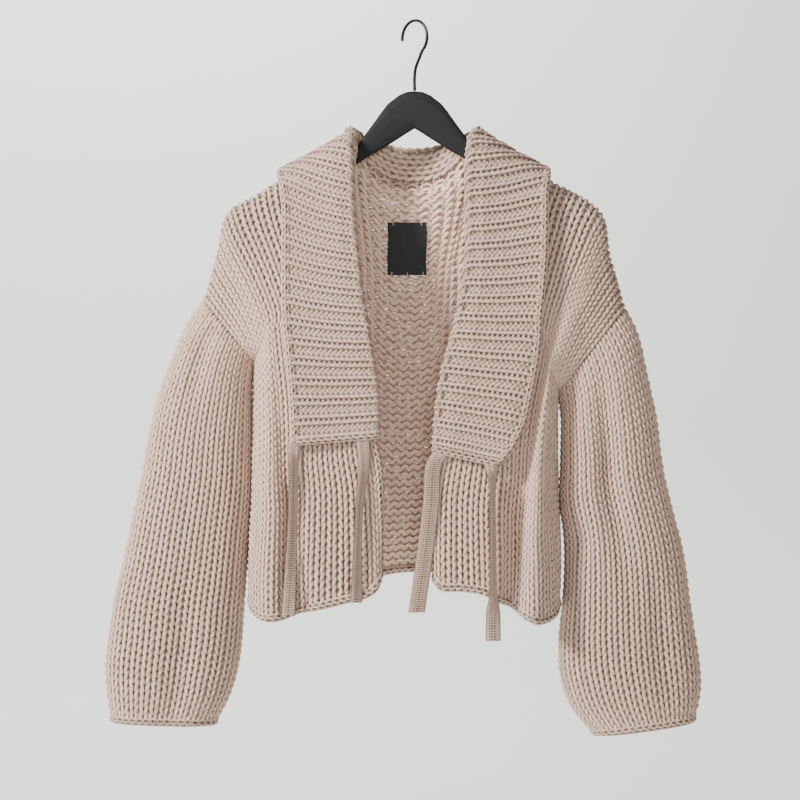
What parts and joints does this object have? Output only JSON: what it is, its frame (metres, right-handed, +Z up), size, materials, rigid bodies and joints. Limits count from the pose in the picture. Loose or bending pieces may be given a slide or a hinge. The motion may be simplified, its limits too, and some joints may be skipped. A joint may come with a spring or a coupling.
{
  "type": "chunky knit cardigan on a hanger",
  "caption": "Open long-sleeved cardigan in chunky stockinette, with a folded ribbed shawl collar and knitted ties, hanging on a slim black hanger with a wire hook.",
  "frame": {"origin": "seat of the hanger's hook, the highest point inside its bend, where it rests on a rail", "axes": "+Z up, +X to the viewer's right, -Y out of the garment's front"},
  "size_m": [0.7108, 0.1511, 0.8548],
  "materials": {
    "knit": "matte chunky wool knit",
    "collar_knit": "matte ribbed wool knit",
    "tie_knit": "matte fine wool knit",
    "label_satin": "black woven satin",
    "hanger_black": "matte black lacquer",
    "hook_black": "black coated steel wire"
  },
  "bodies": {
    "root": {"back": "knit", "front_left": "knit", "front_right": "knit", "sleeve_left": "knit", "sleeve_right": "knit", "collar": "collar_knit", "tie_left_outer": "tie_knit", "tie_left_inner": "tie_knit", "tie_right_inner": "tie_knit", "tie_right_outer": "tie_knit", "label": "label_satin", "hanger_body": "hanger_black", "hanger_hook": "hook_black"}
  },
  "joints": []
}
